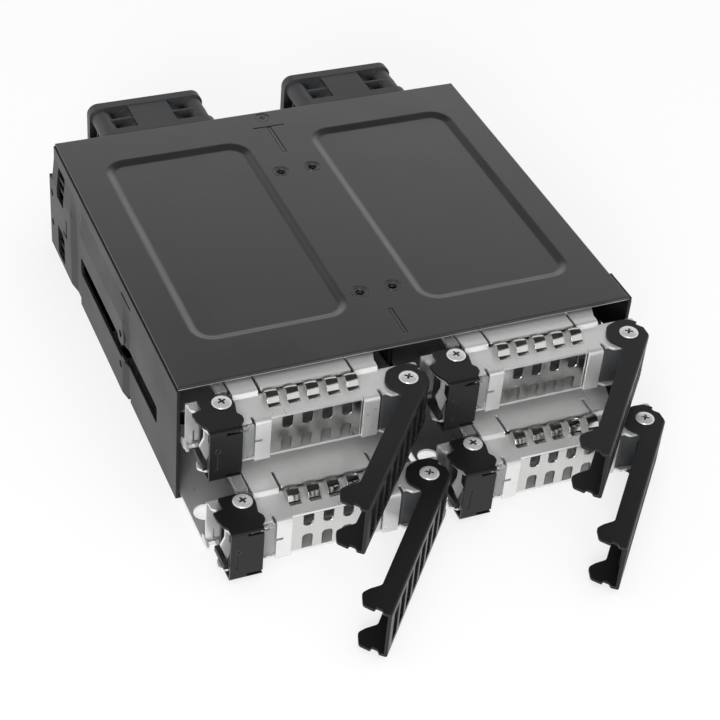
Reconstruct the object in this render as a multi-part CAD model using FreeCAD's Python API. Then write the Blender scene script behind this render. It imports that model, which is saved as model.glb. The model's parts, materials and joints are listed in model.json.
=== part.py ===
import FreeCAD, Part
import math
import os

# Hot swap drive cage for one half-height bay: four sliding trays behind swing levers.
# X runs to the right, Y back into the cage, Z up. Lengths are in millimetres.
# Shapes are drawn from the front edge (y = 0) and saved about the centre of the base.

V = FreeCAD.Vector
UP = V(0, 0, 1)
BACK = V(0, 1, 0)
RIGHT = V(1, 0, 0)

# Cage
cage_width = 146.0
pad_step = 0.9
cage_height = 41.3
cage_depth = 131.0
sheet = 1.0
half = cage_width / 2 - pad_step
inner = half - sheet
cover_under = cage_height - sheet
pad_back = cage_depth + 3.5

# Side screw holes of the bay standard
hole_margin = 2.85
hole_pitch_y = 79.25
hole_front_y = pad_back - hole_margin - hole_pitch_y
hole_low_z = 10.0
hole_pitch_z = 11.84
side_hole_r = 1.3

# Tiers and trays
divider_sheet = 1.0
divider_front = 14.5
shelf_sheet = 0.8
bay_height = (cover_under - sheet - shelf_sheet) / 2
tier_z = [sheet, sheet + bay_height + shelf_sheet]
tray_gap = 1.8
tray_side_gap = 0.4
tray_width = inner - tray_side_gap - tray_gap / 2
tray_x = [-tray_gap / 2 - tray_width, tray_gap / 2]
tray_sheet = 0.8
in_y = 3.0

# How far each tray stands out of its seat: upper left, upper right, lower left, lower right
tray_out = {"ul": 18.4, "ur": 18.8, "ll": 37.8, "lr": 35.6}

# Heights inside one bay, measured from its floor or down from the next one
pan_w = 0.2
sole_w = 2.05
shelf_w = bay_height - 3.6
raised_w = bay_height - 2.0
lever_low_w = 1.15
lever_high_w = bay_height - 2.7
latch_low_w = 0.25
latch_high_w = bay_height - 1.8
flange_sheet = 0.8
sole_top = sole_w + tray_sheet
middle_w = (sole_top + shelf_w) / 2

# Plan positions inside one tray, from its left edge and its front tabs
latch_u, latch_v = 9.4, 8.9
pivot_u, pivot_v = tray_width - 5.6, 4.3
lever_open = 50.0
lever_end_u = 7.7
lever_length = pivot_u - lever_end_u
lever_face = 6.0
lever_face_sheet = 1.0
hook_slot_u = pivot_u - math.hypot(lever_length, lever_face) - 0.4
collar_r = 1.85
pin_r = 1.45
bore_r = pin_r + 0.07
head_r = 2.9
bracket_v = 13.0
window_u0, window_u1 = 21.9, tray_width - 20.5
finger_count = 5
finger_width = 4.0
finger_pitch = (window_u1 - window_u0 - finger_width + 0.6) / (finger_count - 1)
finger_mid_u = (window_u0 + window_u1) / 2 + 0.2

# Back end
back_room = 9.1
board_y = cage_depth - back_room
board_sheet = 1.6
drive_front = 15.4
board_gap = 3.3
drive_holes = (90.6, 14.0)
drive_hole_u = 4.04
pan_window_v = 38.0
light_bar_end = 62.0
drive_length = board_y - board_gap - drive_front - in_y
pan_end = board_y - in_y - 5.9
panel_y = cage_depth - sheet
socket_z = cage_height / 2
data_x, data_half = 8.2, 2.9
power_half = 4.6
power_x = inner - 7.2
fan_size = 40.0
fan_depth = 20.0
fan_x = (data_x + data_half + power_x - power_half) / 2
fan_z = cage_height - fan_size / 2
fan_hole_edge = 4.0
fan_hole_pitch = fan_size - 2 * fan_hole_edge
fan_rim = 1.4
fan_bore_r = fan_size / 2 - fan_rim
blade_r = fan_bore_r - 0.6


def block(x0, y0, z0, x1, y1, z1):
    return Part.makeBox(x1 - x0, y1 - y0, z1 - z0, V(x0, y0, z0))


def rod(x, y, z, radius, length, axis=UP):
    return Part.makeCylinder(radius, length, V(x, y, z), axis)


def fuse(shapes):
    body = shapes[0]
    if len(shapes) > 1:
        body = body.multiFuse(shapes[1:])
    return body.removeSplitter()


def cut(body, tools):
    return body.cut(Part.makeCompound(tools)) if tools else body


def rounded(points):
    """Closed flat wire through corners (a, b, radius)."""
    corners = []
    for i, (a, b, radius) in enumerate(points):
        here = V(a, b, 0)
        before = V(points[i - 1][0], points[i - 1][1], 0)
        after = points[(i + 1) % len(points)]
        back = (before - here).normalize()
        ahead = (V(after[0], after[1], 0) - here).normalize()
        if radius <= 0:
            corners.append((here, None, here))
            continue
        angle = back.getAngle(ahead) / 2
        run = radius / math.tan(angle)
        centre = here + (back + ahead).normalize() * (radius / math.sin(angle))
        middle = centre + (here - centre).normalize() * radius
        corners.append((here + back * run, middle, here + ahead * run))
    edges = []
    for i, (start, middle, end) in enumerate(corners):
        if middle is not None:
            edges.append(Part.Arc(start, middle, end).toShape())
        following = corners[(i + 1) % len(corners)][0]
        if end.distanceToPoint(following) > 1e-5:
            edges.append(Part.LineSegment(end, following).toShape())
    return Part.Wire(edges)


def bent_strip(points, thickness, bend):
    """Closed section of a sheet whose middle follows (a, b) points, bent at each inner one."""
    middle = [V(a, b, 0) for a, b in points]
    runs = [(q - p).normalize() for p, q in zip(middle, middle[1:])]
    edges = []
    ends = []
    for offset in (thickness / 2, -thickness / 2):
        at = middle[0] + V(-runs[0].y, runs[0].x, 0) * offset
        first = at
        for here, one, two in zip(middle[1:], runs, runs[1:]):
            sign = 1 if one.cross(two).z > 0 else -1
            radius = bend + thickness / 2
            run = radius * math.tan(one.getAngle(two) / 2)
            left_one = V(-one.y, one.x, 0)
            left_two = V(-two.y, two.x, 0)
            centre = here - one * run + left_one * (sign * radius)
            start = here - one * run + left_one * offset
            stop = here + two * run + left_two * offset
            top = centre + (here - centre).normalize() * (radius - sign * offset)
            edges.append(Part.LineSegment(at, start).toShape())
            edges.append(Part.Arc(start, top, stop).toShape())
            at = stop
        last = middle[-1] + V(-runs[-1].y, runs[-1].x, 0) * offset
        edges.append(Part.LineSegment(at, last).toShape())
        ends.append((first, last))
    edges.append(Part.LineSegment(ends[0][0], ends[1][0]).toShape())
    edges.append(Part.LineSegment(ends[0][1], ends[1][1]).toShape())
    return Part.Wire(Part.__sortEdges__(edges))


def plan(wire, z0, z1):
    """Solid with a plan outline, from z0 up to z1."""
    solid = Part.Face(wire).extrude(V(0, 0, z1 - z0))
    solid.translate(V(0, 0, z0))
    return solid


def along_x(wire, x0, x1):
    """Solid whose (y, z) section runs from x0 to x1."""
    solid = Part.Face(wire).extrude(V(0, 0, x1 - x0))
    turn = FreeCAD.Placement(FreeCAD.Matrix(0, 0, 1, x0, 1, 0, 0, 0, 0, 1, 0, 0))
    return solid.transformed(turn.toMatrix())


def along_y(wire, y0, y1):
    """Solid whose (x, z) section runs from y0 back to y1."""
    solid = Part.Face(wire).extrude(V(0, 0, y1 - y0))
    turn = FreeCAD.Placement(FreeCAD.Matrix(1, 0, 0, 0, 0, 0, -1, y1, 0, 1, 0, 0))
    return solid.transformed(turn.toMatrix())


def oblong(a0, b0, a1, b1, radius):
    corners = [(a0, b0, radius), (a1, b0, radius), (a1, b1, radius), (a0, b1, radius)]
    return rounded(corners)


def cross_screw(x, y, z, radius, height, depth):
    """Low cross-recess head whose underside is at z."""
    edge = height * 0.45
    head = rod(x, y, z, radius, height - edge)
    head = head.fuse(Part.makeCone(radius, radius - edge, edge, V(x, y, z + height - edge)))
    slots = []
    for across, along in ((1.6, 0.24), (0.24, 1.6)):
        low = z + height - depth
        slots.append(block(x - across, y - along, low, x + across, y + along, z + height + 1))
    return cut(head, slots)


def save(name, shape, tray=None, turn=None):
    """Write one sub-part in the common frame; tray names the bay it is carried in."""
    body = shape.copy()
    if turn:
        body.rotate(V(turn[0], turn[1], 0), UP, turn[2])
    if tray:
        name = name + "_" + tray
        side = 0 if tray[1] == "l" else 1
        tier = 1 if tray[0] == "u" else 0
        body.translate(V(tray_x[side], in_y - tray_out[tray], tier_z[tier]))
    body.translate(V(0, -cage_depth / 2, 0))
    body.exportStep("parts/" + name + ".step")


# Cage sheets

def side_wall():
    """Right wall as a standing sheet: two raised screw pads that lean back to it above."""
    middle = half - sheet / 2
    front_pad = [hole_front_y + step for step in (-6.4, -1.8, 45.1, 47.1)]
    rear_pad = (pad_back - 30.5, pad_back - 25.5)
    pad_top = cover_under - 4.3
    rear_top = hole_low_z + hole_pitch_z + 5.66
    lower = [
        (middle, 0), (middle, front_pad[0]), (middle + pad_step, front_pad[1]),
        (middle + pad_step, front_pad[2]), (middle, front_pad[3]), (middle, rear_pad[0]),
        (middle + pad_step, rear_pad[1]), (middle + pad_step, pad_back),
    ]
    whole = plan(bent_strip(lower, sheet, 0.3), 0, rear_top)
    # Above the holes both pads lean back to the plain wall
    levels = []
    for z, stand in ((rear_top, 1.0), (pad_top, 0.0)):
        path = [(middle + (x - middle) * stand, y) for x, y in lower]
        outer = [V(x + sheet / 2, y, z) for x, y in path]
        under = [V(x - sheet / 2, y, z) for x, y in path[::-1]]
        levels.append(Part.makePolygon(outer + under + outer[:1]))
    lean = Part.makeLoft(levels, True, True)
    lean = lean.common(block(inner - 1, -1, rear_top, half + 2, cage_depth, pad_top))
    upper = block(inner, 0, pad_top, half, cage_depth, cover_under)
    wall = fuse([whole, lean, upper])
    tools = []
    slot_low, slot_high = hole_low_z + 3.4, hole_low_z + 9.8
    slot = oblong(18.4, slot_low, hole_front_y + 44.0, slot_high, 1.2)
    tools.append(along_x(slot, inner - 2, half + 3))
    tools.append(block(inner - 2, hole_front_y - 7.8, pad_top - 0.3,
                       half + 3, hole_front_y + 1.6, pad_top + 0.5))
    window_front, window_high = cage_depth - 13.8, 11.3
    window_lows = (pad_top - 11.6, sheet + 0.8)
    for low in window_lows:
        window = oblong(window_front, low, window_front + 8.0, low + window_high, 0.8)
        tools.append(along_x(window, inner - 2, half + 3))
    ell = window_front - 3.6
    tools.append(block(inner - 2, ell, 14.6, half + 3, ell + 1.0, 22.0))
    tools.append(block(inner - 2, ell, 14.6, half + 3, ell + 4.4, 15.6))
    for y in (hole_front_y, hole_front_y + hole_pitch_y):
        for z in (hole_low_z, hole_low_z + hole_pitch_z):
            tools.append(rod(inner - 2, y, z, side_hole_r, sheet + 5, RIGHT))
    wall = cut(wall, tools)
    # Metal kept round the upper front hole, where it stands into the long slot
    outer = half + pad_step
    boss = rod(outer - sheet, hole_front_y, hole_low_z + hole_pitch_z, 3.6, sheet, RIGHT)
    boss = boss.fuse(block(outer - sheet, hole_front_y - 4.4, slot_low,
                           outer, hole_front_y - 1.6, slot_low + 1.2))
    boss = boss.cut(rod(outer - 3, hole_front_y, hole_low_z + hole_pitch_z, side_hole_r, 6, RIGHT))
    tongues = []
    for low in window_lows:
        for step in (3.4, 7.2):
            bar = block(half - 0.6, window_front + 2.2, low + step,
                        half, window_front + 8.2, low + step + 1.0)
            tongues.append(bar)
    return fuse([wall, boss] + tongues)


def lever_slots():
    """Slots in the right wall that take the heels of the two right-hand levers."""
    tools = []
    for floor in tier_z:
        for w in (lever_low_w, lever_high_w):
            low = floor + w - 0.5
            tools.append(block(inner - 1, in_y - 0.4, low, half + 1, in_y + 10.4, low + flange_sheet + 1.0))
    return tools


def heel_hood():
    """Pressed hood over the top heel slot of the right wall."""
    low = tier_z[1] + lever_high_w - 1.3
    high = cover_under
    shell = block(half, in_y - 1.6, low, half + pad_step, in_y + 11.4, high)
    space = block(half - 1, in_y - 0.6, low + 0.8, half + pad_step - 0.45, in_y + 10.4, high - 0.8)
    return shell.cut(space)


def chassis():
    right = side_wall()
    left = right.mirror(V(0, 0, 0), RIGHT)
    right = cut(right, lever_slots())
    floor = block(-inner - 0.5, 0, 0, inner + 0.5, cage_depth, sheet)
    tools = []
    for side in (-1, 1):
        for row in range(3):
            y = 34 + row * 24
            for col in range(4):
                x = side * (14 + col * 13.5)
                slot = oblong(x - 1.6, y, x + 1.6, y + 15, 1.55)
                tools.append(plan(slot, -1, sheet + 1))
    floor = cut(floor, tools)
    relief = []
    for side in (-1, 1):
        x = side * cage_width / 2
        relief.append(block(x - 2, hole_front_y - 7.4, -1, x + 2, hole_front_y - 5.8, 1.6))
    return cut(fuse([floor, right, left, heel_hood()]), relief)


recess_inner, recess_outer = 12.4, half - 11.7
recess_front, recess_back = 19.2, cage_depth - 16.4
recess_depth = 0.7


def recess(depth, grow, x0, y0, x1, y1):
    """Shallow pressed panel: sloping border round a flat field."""
    top = oblong(x0, y0, x1, y1, 6.5)
    low = oblong(x0 + 2.2, y0 + 2.2, x1 - 2.2, y1 - 2.2, 4.5)
    top.translate(V(0, 0, cage_height - grow))
    low.translate(V(0, 0, cage_height - grow - depth))
    return Part.makeLoft([top, low], True, True)


bush_back = cage_depth - 36.3
bush_spots = [(-6.1, bush_back), (4.8, bush_back), (-6.1, 27.1), (4.5, 27.1)]
bush_r = 2.7
cover_screw = (-0.8, cage_depth - 3.6)
tab_x = (-1.2, -0.1)
tab_y = [(5.2, 16.8), (cage_depth - 25.4, cage_depth - 10.0)]


def top_cover():
    cover = block(-half, 0.8, cover_under, half, cage_depth, cage_height)
    edges = [e for e in cover.Edges if e.BoundBox.ZMin > cage_height - 0.01]
    cover = cover.makeFillet(0.5, edges)
    for left, right in ((-recess_outer, -recess_inner), (recess_inner, recess_outer)):
        spot = (left, recess_front, right, recess_back)
        cover = cover.fuse(recess(recess_depth, sheet, *spot))
        cover = cover.cut(recess(recess_depth, 0, *spot))
    bar_y = tab_y[1][1] + 0.2
    tools = [block(-6.2, bar_y, cover_under - 1, 4.9, bar_y + 0.6, cage_height + 1)]
    for y_near, y_far in tab_y:
        tools.append(block(tab_x[0] - 0.25, y_near - 0.25, cover_under - 1,
                           tab_x[1] + 0.25, y_far + 0.25, cage_height + 1))
    for x, y in bush_spots:
        tools.append(rod(x, y, cover_under - 1, bush_r, sheet + 2))
        tools.append(Part.makeCone(bush_r, bush_r + 0.25, 0.25, V(x, y, cage_height - 0.25)))
    x, y = cover_screw
    tools.append(Part.makeCone(1.6, 2.6, sheet, V(x, y, cover_under)))
    return cut(cover.removeSplitter(), tools)


def cover_fasteners():
    """Four flush threaded bushes beside the divider and one countersunk screw behind."""
    solids = []
    for x, y in bush_spots:
        bush = rod(x, y, cover_under, bush_r, sheet - 0.1)
        bush = bush.cut(rod(x, y, cover_under - 1, 1.45, sheet + 2))
        groove = rod(x, y, cage_height - 0.25, 2.15, 0.3).cut(rod(x, y, cage_height - 0.25, 1.85, 0.3))
        solids.append(bush.cut(groove))
    x, y = cover_screw
    screw = Part.makeCone(1.6, 2.45, 0.85, V(x, y, cover_under))
    slots = []
    for across, along in ((1.2, 0.22), (0.22, 1.2)):
        slots.append(block(x - across, y - along, cover_under + 0.45, x + across, y + along, cage_height))
    solids.append(cut(screw, slots))
    return Part.makeCompound(solids)


def divider():
    x0 = -divider_sheet / 2
    wall = block(x0, divider_front, sheet, -x0, board_y - 0.2, cover_under)
    tools = []
    for floor in tier_z:
        for k in range(4):
            y = 24 + k * (board_y - 33.9) / 4
            tools.append(along_x(oblong(y, floor + 6, y + 15, floor + bay_height - 6.25, 1.5),
                                 x0 - 1, -x0 + 1))
    wall = cut(wall, tools)
    # Turned ears below the cover bushes, and two tabs that stand up through the cover
    tabs = []
    for x, y in bush_spots:
        near, far = min(x, 0) - (3 if x < 0 else 0), max(x, 0) + (3 if x > 0 else 0)
        ear = block(near, y - 3.5, cover_under - 0.6, far, y + 3.5, cover_under)
        tabs.append(ear.cut(rod(x, y, cover_under - 1, 1.25, 2)))
    for y_near, y_far in tab_y:
        root = block(tab_x[0], y_near, cover_under - 0.6, -x0, y_far, cover_under)
        tabs.append(root.fuse(block(tab_x[0], y_near, cover_under, tab_x[1], y_far, cage_height - 0.1)))
    return fuse([wall] + tabs)


def tier_shelf(side):
    """Floor of one upper bay, from the side wall to the divider."""
    near, far = divider_sheet / 2, inner
    z0 = tier_z[1] - shelf_sheet
    outline = [
        (near, 6.0, 0), (near + 6, 4.0, 0), (far - 6, 4.0, 0), (far, 6.0, 0),
        (far, board_y - 2, 0), (near, board_y - 2, 0),
    ]
    if side < 0:
        outline = [(-a, b, r) for a, b, r in outline][::-1]
    plate = plan(rounded(outline), z0, z0 + shelf_sheet)
    # The divider starts behind the shelf's front edge
    tools = []
    for row in range(3):
        for col in range(4):
            x = side * (14 + col * 13.5)
            y = 36 + row * 24
            tools.append(plan(oblong(x - 2.6, y, x + 2.6, y + 14, 2.5), z0 - 1, z0 + 2))
    return cut(plate, tools)


# Back end

def backplane():
    board = block(-inner + 0.3, board_y, sheet + 0.4, inner - 0.3, board_y + board_sheet,
                  cover_under - 1.2)
    tools = []
    for side in (-1, 1):
        for floor in tier_z:
            low = floor + bay_height - 10.05
            for k in (-1, 0, 1):
                mid = side * fan_x + k * 18.5
                window = oblong(mid - 8, low, mid + 8, low + 8.0, 1.0)
                tools.append(along_y(window, board_y - 1, board_y + 3))
    return cut(board, tools)


def drive_connectors():
    """Four edge receptacles, one behind each bay."""
    solids = []
    for side in (0, 1):
        mid = tray_x[side] + tray_width / 2 - 9.0
        for floor in tier_z:
            low = floor + 1.7
            shell = block(mid - 21, board_y - 8, low, mid + 21, board_y, low + 5.6)
            slot = block(mid - 19, board_y - 9, low + 1.6, mid + 19, board_y - 2, low + 4.0)
            key = block(mid - 4.2, board_y - 8, low + 1.4, mid - 2.8, board_y, low + 4.2)
            solids.append(shell.cut(slot).fuse(key).removeSplitter())
    return Part.makeCompound(solids)


data_spots = [(x, socket_z + rise) for x in (-data_x, data_x) for rise in (-9.2, 9.2)]
power_low, power_high = socket_z - 12.2, socket_z + 9.4


def data_connectors():
    """Four upright plugs between the fans, open at the back."""
    solids = []
    front = board_y + board_sheet
    for x, z in data_spots:
        shell = block(x - data_half, front, z - 7.2, x + data_half, cage_depth + 3.0, z + 7.2)
        space = block(x - 1.9, front + 3, z - 6.2, x + 1.9, cage_depth + 4, z + 6.2)
        tongue = block(x - 0.6, front + 2, z - 5.2, x + 0.6, cage_depth + 2, z + 3.6)
        foot = block(x - 0.6, front + 2, z - 5.2, x + 1.5, cage_depth + 2, z - 4.0)
        solids.append(shell.cut(space).fuse([tongue, foot]).removeSplitter())
    return Part.makeCompound(solids)


def power_connectors():
    """Two upright four-pole power sockets at the outer edges."""
    solids = []
    front = board_y + board_sheet
    for x in (-power_x, power_x):
        shell = block(x - power_half, front, power_low, x + power_half, cage_depth + 4.5, power_high)
        space = block(x - power_half + 1.1, front + 4, power_low + 1.1,
                      x + power_half - 1.1, cage_depth + 6, power_high - 1.1)
        shell = shell.cut(space)
        pins = []
        for k in range(4):
            z = power_low + 3.2 + k * 5.08
            pins.append(rod(x, front + 3, z, 1.0, cage_depth + 3 - front - 3, BACK))
        solids.append(shell.fuse(pins).removeSplitter())
    return Part.makeCompound(solids)


def rear_panel():
    panel = block(-inner, panel_y, sheet, inner, cage_depth, cover_under)
    tools = []
    for side in (-1, 1):
        x = side * fan_x
        tools.append(rod(x, panel_y - 1, fan_z, fan_bore_r - 0.4, 3, BACK))
        for dx in (-1, 1):
            for dz in (-1, 1):
                hole = rod(x + dx * fan_hole_pitch / 2, panel_y - 1,
                           fan_z + dz * fan_hole_pitch / 2, 1.7, 3, BACK)
                tools.append(hole)
        x = side * power_x
        tools.append(block(x - power_half - 0.3, panel_y - 1, power_low - 0.3,
                           x + power_half + 0.3, cage_depth + 1, power_high + 0.3))
    for x, z in data_spots:
        tools.append(block(x - data_half - 0.3, panel_y - 1, z - 7.5,
                           x + data_half + 0.3, cage_depth + 1, z + 7.5))
    return cut(panel, tools)


def fan_frame(side):
    """Square fan housing: flanges and a mid web on corner posts round a duct with flat pads."""
    x = side * fan_x
    y0 = cage_depth
    half_fan = fan_size / 2
    pitch = fan_hole_pitch / 2
    shapes = []
    for front in (y0, y0 + fan_depth - 3.2):
        flange = oblong(x - half_fan, fan_z - half_fan, x + half_fan, fan_z + half_fan, 3.6)
        shapes.append(along_y(flange, front, front + 3.2))
    shapes.append(rod(x, y0, fan_z, fan_bore_r + 1.0, fan_depth, BACK))
    for dx in (-1, 1):
        for dz in (-1, 1):
            shapes.append(rod(x + dx * pitch, y0, fan_z + dz * pitch, 3.3, fan_depth, BACK))
    web = half_fan - 0.8
    shapes.append(along_y(oblong(x - web, fan_z - web, x + web, fan_z + web, 2.8),
                          y0 + fan_depth / 2 - 0.4, y0 + fan_depth / 2 + 0.4))
    pad, reach = 6.8, half_fan - 0.3
    shapes.append(block(x - pad, y0, fan_z - reach, x + pad, y0 + fan_depth, fan_z + reach))
    shapes.append(block(x - reach, y0, fan_z - pad, x + reach, y0 + fan_depth, fan_z + pad))
    frame = fuse(shapes)
    tools = [rod(x, y0 - 1, fan_z, fan_bore_r, fan_depth + 2, BACK)]
    for dx in (-1, 1):
        for dz in (-1, 1):
            hole = rod(x + dx * pitch, y0 - 1, fan_z + dz * pitch, 1.7, fan_depth + 2, BACK)
            tools.append(hole)
    frame = cut(frame, tools)
    hub_y = y0 + fan_depth - 2.4
    spider = [rod(x, hub_y, fan_z, 9.0, 2.4, BACK)]
    for angle in (30, 150, 210, 330):
        arm = block(8.0, hub_y + 0.4, -1.1, fan_bore_r + 0.6, hub_y + 2.4, 1.1)
        arm.rotate(V(0, 0, 0), BACK, angle)
        arm.translate(V(x, 0, fan_z))
        spider.append(arm)
    spider.append(rod(x, hub_y - 6, fan_z, 1.6, 6.5, BACK))
    return fuse([frame] + spider)


def fan_rotor(side):
    """Hub cup and seven raked blades, clear of the duct and the centre post."""
    x = side * fan_x
    front = cage_depth + 2.2
    back = cage_depth + fan_depth - 2.9
    hub = rod(x, front, fan_z, 9.0, back - front, BACK)
    hub = hub.cut(rod(x, front + 1.6, fan_z, 7.9, back, BACK))
    hub = hub.fuse(rod(x, front + 1.2, fan_z, 3.4, 7.5, BACK))
    hub = hub.cut(rod(x, front + 4.6, fan_z, 1.68, 30, BACK))
    blades = []
    for k in range(7):
        sections = []
        for radius, lean, reach in ((8.6, 0.5, 5.6), (blade_r + 1, 3.4, 5.4)):
            near = front + 1.0
            spread = lean + 3.6
            corners = [
                V(spread - 0.5, near, radius), V(spread + 0.5, near, radius),
                V(-spread + 0.5, near + 2 * reach, radius), V(-spread - 0.5, near + 2 * reach, radius),
            ]
            sections.append(Part.makePolygon(corners + corners[:1]))
        blade = Part.makeLoft(sections, True, True).common(rod(0, front, 0, blade_r, 20, BACK))
        blade.rotate(V(0, 0, 0), BACK, k * 360.0 / 7)
        blade.translate(V(x, 0, fan_z))
        blades.append(blade)
    return fuse([hub] + blades)


def fan_screws():
    screws = []
    for side in (-1, 1):
        for dx in (-1, 1):
            for dz in (-1, 1):
                x = side * fan_x + dx * fan_hole_pitch / 2
                z = fan_z + dz * fan_hole_pitch / 2
                shank = rod(x, panel_y - 1.4, z, 1.5, 9.0, BACK)
                head = rod(x, panel_y - 1.4, z, 2.6, 1.4, BACK)
                screws.append(head.fuse(shank).removeSplitter())
    return Part.makeCompound(screws)


# Tray, drawn from its own left edge (u), front tabs (v) and bay floor (w)

def tray_pan():
    """Drive plate, stepped up at the front so that latch and lever pass below it."""
    low, high = pan_w + tray_sheet / 2, sole_w + tray_sheet / 2
    section = bent_strip([(-1.6, high), (11.4, high), (12.6, low), (pan_end, low)], tray_sheet, 0.4)
    sheet_body = along_x(section, 0, tray_width)
    outline = [
        (0, 12.8, 0.8), (0, pan_end, 2), (tray_width, pan_end, 2), (tray_width, 13.2, 0.8),
        (tray_width - 0.5, 12.4, 0), (tray_width - 0.5, pivot_v, 0),
        (pivot_u + 4.6, pivot_v - 1.6, 1.6), (pivot_u + 1.6, -0.2, 1.2), (pivot_u - 8.2, -0.2, 0.6),
        (pivot_u - 9.2, 1.0, 0), (11.4, 1.0, 0), (10.6, -0.3, 0.4), (2.2, -0.3, 0.8),
        (0.1, 1.4, 1.2), (0.6, 4.0, 1.0), (2.4, 5.6, 0), (2.4, 12.0, 0), (0.8, 12.2, 0),
    ]
    body = sheet_body.common(plan(rounded(outline), -1, 6))
    tools = []
    for u in (drive_hole_u, tray_width - drive_hole_u):
        for from_end in drive_holes:
            tools.append(rod(u, drive_front + drive_length - from_end, -1, 3.2, 4))
    pitch_u, pitch_v = (tray_width - 29.0) / 3, (pan_end - pan_window_v - 7.0) / 4
    for k in range(4):
        v = pan_window_v + k * pitch_v
        for col in range(3):
            u = 15.0 + col * pitch_u
            tools.append(plan(oblong(u, v, u + pitch_u - 2.6, v + pitch_v - 5.0, 3.0), -1, 3))
    tools.append(rod(latch_u, latch_v, 0, pin_r + 0.05, 6))
    tools.append(rod(pivot_u, pivot_v, 0, pin_r + 0.05, 6))
    body = cut(body, tools)
    # Upright catch bracket at the left, with a lanced window, a top ear and a low gusset
    low = pan_w + tray_sheet - 0.1
    bracket_top = shelf_w + 0.55
    plate = block(0.4, bracket_v, low, 9.0, bracket_v + tray_sheet, bracket_top)
    back = bracket_v + 2
    lances = [block(2.6, bracket_v - 1, 1.9, 3.15, back, 6.4)]
    lances.append(block(2.6, bracket_v - 1, 1.9, 5.6, back, 2.45))
    ear = [(0.9, 13.6, 0), (0.9, 10.0, 1.6), (5.4, 10.0, 1.9), (5.4, 13.6, 0)]
    ear = plan(rounded(ear), bracket_top - tray_sheet, bracket_top)
    gusset = along_x(rounded([(10.6, low, 0), (15.2, low, 0), (15.2, 3.0, 0.5), (13.9, 3.4, 0.8),
                              (10.6, 1.5, 0.3)]), 0, 0.8)
    return fuse([body, cut(plate, lances), ear, gusset])


right_tab = tray_width - 20.7


def tray_hood():
    """Front shelf, raised top plate behind it and the two turned-down front tabs."""
    top = shelf_w + tray_sheet
    outline = [
        (6.2, 11.4, 0), (6.2, 8.7, 0), (0.9, 8.4, 0.8), (1.5, 4.0, 2.0), (2.8, -0.3, 0.8),
        (10.6, -0.3, 0.4), (11.4, 0.9, 0.4), (15.6, 0.9, 0), (15.6, 2.0, 0), (right_tab + 5.8, 2.0, 0),
        (right_tab + 5.8, 1.2, 0), (right_tab + 6.8, 1.2, 0.3), (right_tab + 8.1, -0.2, 1.1),
        (pivot_u + 1.6, -0.2, 1.2), (pivot_u + 4.6, pivot_v - 1.6, 1.6),
        (tray_width - 0.5, pivot_v + 0.6, 0), (tray_width - 0.5, 11.4, 0.8), (13.4, 11.4, 0),
    ]
    shelf = plan(rounded(outline), shelf_w, top)
    front = block(21.2, 1.0, shelf_w, right_tab - 0.2, 3.0, top)
    shelf_mid = shelf_w + tray_sheet / 2
    upper_mid = raised_w + tray_sheet / 2
    step = bent_strip([(9.0, shelf_mid), (10.9, shelf_mid), (11.7, upper_mid), (16.0, upper_mid)],
                      tray_sheet, 0.15)
    left_slit, right_slit = window_u0 - 0.9, window_u1 + 0.9
    steps = [along_x(step, 13.4, left_slit), along_x(step, right_slit, right_slit + 7.2)]
    deck = [
        (13.4, 14.0, 0), (left_slit, 14.0, 0), (left_slit, 18.4, 0.4), (window_u0, 18.4, 0.4),
        (window_u0, 11.6, 0.3), (window_u1, 11.6, 0.3), (window_u1, 18.0, 0.4),
        (right_slit, 18.0, 0.4), (right_slit, 14.0, 0), (right_slit + 7.2, 14.0, 1.0),
        (right_slit + 9.2, 20.0, 2.0), (right_slit + 11.8, 46.0, 3.0), (13.4, 46.0, 1.5),
    ]
    raised = plan(rounded(deck), raised_w, raised_w + tray_sheet)
    tab = bent_strip([(4.0, shelf_mid), (tray_sheet / 2, shelf_mid), (tray_sheet / 2, 2.2)],
                     tray_sheet, 0.5)
    tabs = [along_x(tab, 16.5, 21.1), along_x(tab, right_tab, right_tab + 4.7)]
    clip = block(16.0, -1, middle_w - 0.15, 18.6, 1.6, middle_w + 0.65)
    shelf = shelf.cut(block(15.6, -1, shelf_w - 1, 16.5, 3.2, top + 1))
    shelf = shelf.cut(block(right_tab + 4.7, -1, shelf_w - 1, right_tab + 5.8, 3.4, top + 1))
    # Bright diamond that hangs from the shelf behind the latch
    diamond = along_y(rounded([(2.4, middle_w + 3.7, 0), (0.9, middle_w + 0.5, 0), (3.0, middle_w - 5.2, 0),
                               (4.5, middle_w - 0.9, 0)]), 2.2, 3.0)
    hanger = block(2.2, 2.2, middle_w, 3.4, 3.0, shelf_w + 0.1)
    body = fuse([shelf, front, raised, diamond, hanger] + steps + tabs)
    holes = [clip]
    for u, v in ((latch_u, latch_v), (pivot_u, pivot_v)):
        holes.append(rod(u, v, 10, pin_r + 0.05, 10))
    return cut(body, holes)


def vent_panel():
    """Recessed front panel with two rows of round-ended vents."""
    low, high = sole_top, shelf_w
    plate = block(21.3, 1.0, low, right_tab - 0.2, 1.0 + tray_sheet, high)
    tools = []
    for k in range(4):
        u = (21.3 + right_tab) / 2 + 0.1 + (k - 1.5) * finger_pitch
        upper = [(u - 1.6, high - 4.3, 1.4), (u + 1.6, high - 4.3, 1.4), (u + 1.6, high + 1, 0),
                 (u - 1.6, high + 1, 0)]
        lower = [(u - 1.6, low - 1, 0), (u + 1.6, low - 1, 0), (u + 1.6, low + 5.2, 1.2),
                 (u - 1.6, low + 5.2, 1.2)]
        tools.append(along_y(rounded(upper), 0, 3))
        tools.append(along_y(rounded(lower), 0, 3))
    return cut(plate, tools)


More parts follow.
